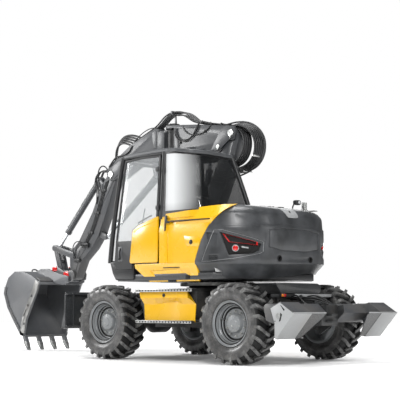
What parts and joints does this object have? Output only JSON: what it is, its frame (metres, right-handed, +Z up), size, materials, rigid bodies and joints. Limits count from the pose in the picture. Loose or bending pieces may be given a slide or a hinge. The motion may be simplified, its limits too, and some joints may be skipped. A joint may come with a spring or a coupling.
{
  "type": "wheeled excavator",
  "caption": "Compact wheeled excavator with a three-part offset boom, quick coupler and backhoe bucket, glazed cab, rounded tail, dozer blade and two swing-down stabilisers.",
  "frame": {"origin": "middle of the footprint on the ground, between the bucket's back and the stabilisers' tail", "axes": "+Y towards the bucket, +Z up, +X towards the boom's side of the cab"},
  "size_m": [2.4, 7.338, 3.905],
  "materials": {
    "anthracite_paint": "satin two-pack paint",
    "yellow_paint": "gloss two-pack paint",
    "black_paint": "satin chassis paint",
    "grey_paint": "satin paint",
    "cast_weight": "painted casting",
    "tyre_rubber": "moulded rubber",
    "chromed_rod": "hard chromed",
    "glazing": "tinted",
    "black_plastic": "moulded, grained",
    "grey_plastic": "moulded",
    "seat_cloth": "woven"
  },
  "bodies": {
    "chassis": {"chassis_frame": "black_paint", "front_axle": "black_paint", "rear_axle": "black_paint", "toolbox_left": "yellow_paint", "toolbox_right": "yellow_paint", "tail_cover": "anthracite_paint", "rear_bracket": "black_paint"},
    "left_knuckle": {"knuckle_left": "black_paint"},
    "right_knuckle": {"knuckle_right": "black_paint"},
    "upper": {"upper_frame": "anthracite_paint", "counterweight": "cast_weight", "left_panel": "yellow_paint", "right_body": "anthracite_paint", "hood_hinges": "black_paint", "engine_block": "grey_paint", "cab_frame": "black_paint", "cab_roof": "grey_plastic", "cab_glass": "glazing", "seat": "seat_cloth", "consoles": "black_plastic"},
    "hood": {"engine_hood": "grey_plastic"},
    "door": {"cab_door": "black_paint", "door_glass": "glazing"},
    "lower_boom": {"boom_base": "anthracite_paint"},
    "middle_boom": {"boom_mid": "anthracite_paint"},
    "front_boom": {"boom_offset": "anthracite_paint"},
    "stick": {"stick": "anthracite_paint"},
    "rocker": {"bucket_rocker": "anthracite_paint"},
    "link": {"bucket_link": "anthracite_paint"},
    "bucket": {"quick_coupler": "anthracite_paint", "bucket": "anthracite_paint"},
    "blade_arms": {"blade_arms": "anthracite_paint"},
    "blade_links": {"blade_links": "anthracite_paint"},
    "blade": {"blade": "anthracite_paint"},
    "left_leg": {"stabiliser_left": "anthracite_paint"},
    "right_leg": {"stabiliser_right": "anthracite_paint"},
    "front_left_wheel": {"wheel_front_left": "grey_paint", "tyre_front_left": "tyre_rubber"},
    "front_right_wheel": {"wheel_front_right": "grey_paint", "tyre_front_right": "tyre_rubber"},
    "rear_left_wheel": {"wheel_rear_left": "grey_paint", "tyre_rear_left": "tyre_rubber"},
    "rear_right_wheel": {"wheel_rear_right": "grey_paint", "tyre_rear_right": "tyre_rubber"},
    "lift_barrel": {"lift_cylinder": "anthracite_paint"},
    "lift_ram": {"lift_rod": "chromed_rod"},
    "knee_barrel": {"knee_cylinder": "anthracite_paint"},
    "knee_ram": {"knee_rod": "chromed_rod"},
    "offset_barrel": {"offset_cylinder": "anthracite_paint"},
    "offset_ram": {"offset_rod": "chromed_rod"},
    "stick_barrel": {"stick_cylinder": "anthracite_paint"},
    "stick_ram": {"stick_rod": "chromed_rod"},
    "bucket_barrel": {"bucket_cylinder": "anthracite_paint"},
    "bucket_ram": {"bucket_rod": "chromed_rod"},
    "blade_barrel": {"blade_cylinder": "anthracite_paint"},
    "blade_ram": {"blade_rod": "chromed_rod"}
  },
  "joints": [
    {"name": "front_left_steer", "type": "hinge", "parent": "chassis", "child": "left_knuckle", "pos_m": [-0.78, -0.066, 0.55], "axis": [0, 0, 1], "range_deg": [-25, 25]},
    {"name": "front_right_steer", "type": "hinge", "parent": "chassis", "child": "right_knuckle", "pos_m": [0.78, -0.066, 0.55], "axis": [0, 0, 1], "range_deg": [-25.5, 25.5]},
    {"name": "front_left_roll", "type": "hinge", "parent": "left_knuckle", "child": "front_left_wheel", "pos_m": [-0.98, -0.066, 0.55], "axis": [1, 0, 0], "continuous": true},
    {"name": "front_right_roll", "type": "hinge", "parent": "right_knuckle", "child": "front_right_wheel", "pos_m": [0.98, -0.066, 0.55], "axis": [1, 0, 0], "continuous": true},
    {"name": "rear_left_roll", "type": "hinge", "parent": "chassis", "child": "rear_left_wheel", "pos_m": [-0.98, -2.566, 0.55], "axis": [1, 0, 0], "continuous": true},
    {"name": "rear_right_roll", "type": "hinge", "parent": "chassis", "child": "rear_right_wheel", "pos_m": [0.98, -2.566, 0.55], "axis": [1, 0, 0], "continuous": true},
    {"name": "slew", "type": "hinge", "parent": "chassis", "child": "upper", "pos_m": [0, -1.316, 1.15], "axis": [0, 0, 1], "continuous": true},
    {"name": "door_swing", "type": "hinge", "parent": "upper", "child": "door", "pos_m": [-1.152, -1.203, 2.465], "axis": [0, 0, 1], "range_deg": [0, 100]},
    {"name": "hood_lift", "type": "hinge", "parent": "upper", "child": "hood", "pos_m": [0.5, -2.228, 2.211], "axis": [1, 0, 0], "range_deg": [0, 60]},
    {"name": "boom_lift", "type": "hinge", "parent": "upper", "child": "lower_boom", "pos_m": [0.31, -0.666, 1.42], "axis": [1, 0, 0], "range_deg": [-60, 5]},
    {"name": "knee_fold", "type": "hinge", "parent": "lower_boom", "child": "middle_boom", "pos_m": [0.31, -1.428, 3.4], "axis": [1, 0, 0], "range_deg": [-5, 60]},
    {"name": "offset_swing", "type": "hinge", "parent": "middle_boom", "child": "front_boom", "pos_m": [0.31, -0.086, 3.435], "axis": [0, 0, 1], "range_deg": [-40, 40]},
    {"name": "stick_swing", "type": "hinge", "parent": "front_boom", "child": "stick", "pos_m": [0.31, 1.244, 2.99], "axis": [-1, 0, 0], "range_deg": [-45, 22]},
    {"name": "bucket_curl", "type": "hinge", "parent": "stick", "child": "bucket", "pos_m": [0.31, 2.244, 1.325], "axis": [-1, 0, 0], "range_deg": [-48, 50]},
    {"name": "rocker_swing", "type": "hinge", "parent": "stick", "child": "rocker", "pos_m": [0.31, 2.265, 1.667], "axis": [1, 0, 0], "range_deg": [-33.2, 31.89]},
    {"name": "link_swing", "type": "hinge", "parent": "rocker", "child": "link", "pos_m": [0.31, 2.748, 1.806], "axis": [1, 0, 0], "range_deg": [-36.12, 37.6]},
    {"name": "blade_lift", "type": "hinge", "parent": "chassis", "child": "blade_arms", "pos_m": [0, 0.259, 0.6], "axis": [1, 0, 0], "range_deg": [-50, 0]},
    {"name": "lift_barrel_swing", "type": "hinge", "parent": "upper", "child": "lift_barrel", "pos_m": [0.31, -0.306, 1.345], "axis": [1, 0, 0], "range_deg": [-55.05, 4.86]},
    {"name": "lift_ram_slide", "type": "slide", "parent": "lift_barrel", "child": "lift_ram", "axis": [0, -0.4155, 0.9096], "range_m": [-0.35432, 0.03136]},
    {"name": "knee_barrel_swing", "type": "hinge", "parent": "lower_boom", "child": "knee_barrel", "pos_m": [0.31, -0.756, 2.01], "axis": [1, 0, 0], "range_deg": [-7.09, 0.87]},
    {"name": "knee_ram_slide", "type": "slide", "parent": "knee_barrel", "child": "knee_ram", "axis": [0, -0.1264, 0.992], "range_m": [-0.05305, 0.61461]},
    {"name": "stick_barrel_swing", "type": "hinge", "parent": "front_boom", "child": "stick_barrel", "pos_m": [0.31, 0.244, 2.9], "axis": [1, 0, 0], "range_deg": [-11.9, 24.03]},
    {"name": "stick_ram_slide", "type": "slide", "parent": "stick_barrel", "child": "stick_ram", "axis": [0, 0.7914, -0.6113], "range_m": [-0.22924, 0.46682]},
    {"name": "bucket_barrel_swing", "type": "hinge", "parent": "stick", "child": "bucket_barrel", "pos_m": [0.31, 1.673, 2.94], "axis": [1, 0, 0], "range_deg": [-4.98, 4.79]},
    {"name": "bucket_ram_slide", "type": "slide", "parent": "bucket_barrel", "child": "bucket_ram", "axis": [0, 0.688, -0.7257], "range_m": [-0.23416, 0.24384]},
    {"name": "blade_barrel_swing", "type": "hinge", "parent": "chassis", "child": "blade_barrel", "pos_m": [0, 0.124, 0.85], "axis": [1, 0, 0], "range_deg": [-30.48, 0.3]},
    {"name": "blade_ram_slide", "type": "slide", "parent": "blade_barrel", "child": "blade_ram", "axis": [0, 0.9757, -0.219], "range_m": [-0.002, 0.14732]},
    {"name": "offset_barrel_swing", "type": "hinge", "parent": "middle_boom", "child": "offset_barrel", "pos_m": [0.488, -0.956, 3.33], "axis": [0, 0, 1], "range_deg": [-0.71, 0.71]},
    {"name": "offset_ram_slide", "type": "slide", "parent": "offset_barrel", "child": "offset_ram", "axis": [0, 1, 0], "range_m": [-0.11426, 0.11426]},
    {"name": "blade_tilt", "type": "hinge", "parent": "blade_arms", "child": "blade", "pos_m": [0, 0.719, 0.74], "axis": [1, 0, 0], "range_deg": [-0.5, 50.5]},
    {"name": "blade_link_swing", "type": "hinge", "parent": "chassis", "child": "blade_links", "pos_m": [0, 0.259, 0.78], "axis": [1, 0, 0], "range_deg": [-50.5, 0.5]},
    {"name": "left_leg_swing", "type": "hinge", "parent": "chassis", "child": "left_leg", "pos_m": [-0.3, -2.796, 0.584], "axis": [1, 0, 0], "range_deg": [0, 48.7]},
    {"name": "right_leg_swing", "type": "hinge", "parent": "chassis", "child": "right_leg", "pos_m": [0.3, -2.796, 0.584], "axis": [1, 0, 0], "range_deg": [0, 48.7]}
  ],
  "couplings": [
    {"joint": "front_right_steer", "follows": "front_left_steer", "ratio": 1},
    {"joint": "rocker_swing", "follows": "bucket_curl", "ratio": -0.654},
    {"joint": "link_swing", "follows": "bucket_curl", "ratio": 0.742},
    {"joint": "lift_barrel_swing", "follows": "boom_lift", "ratio": 0.9125},
    {"joint": "lift_ram_slide", "follows": "boom_lift", "m_per_rad": 0.33644},
    {"joint": "knee_barrel_swing", "follows": "knee_fold", "ratio": -0.11314},
    {"joint": "knee_ram_slide", "follows": "knee_fold", "m_per_rad": 0.585},
    {"joint": "stick_barrel_swing", "follows": "stick_swing", "ratio": -0.5273},
    {"joint": "stick_ram_slide", "follows": "stick_swing", "m_per_rad": -0.59182},
    {"joint": "bucket_barrel_swing", "follows": "bucket_curl", "ratio": -0.093589},
    {"joint": "bucket_ram_slide", "follows": "bucket_curl", "m_per_rad": 0.27713},
    {"joint": "blade_barrel_swing", "follows": "blade_lift", "ratio": 0.6036},
    {"joint": "blade_ram_slide", "follows": "blade_lift", "m_per_rad": -0.16652},
    {"joint": "offset_barrel_swing", "follows": "offset_swing", "ratio": 0.010194},
    {"joint": "offset_ram_slide", "follows": "offset_swing", "m_per_rad": 0.1608},
    {"joint": "blade_tilt", "follows": "blade_lift", "ratio": -1},
    {"joint": "blade_link_swing", "follows": "blade_lift", "ratio": 1}
  ]
}
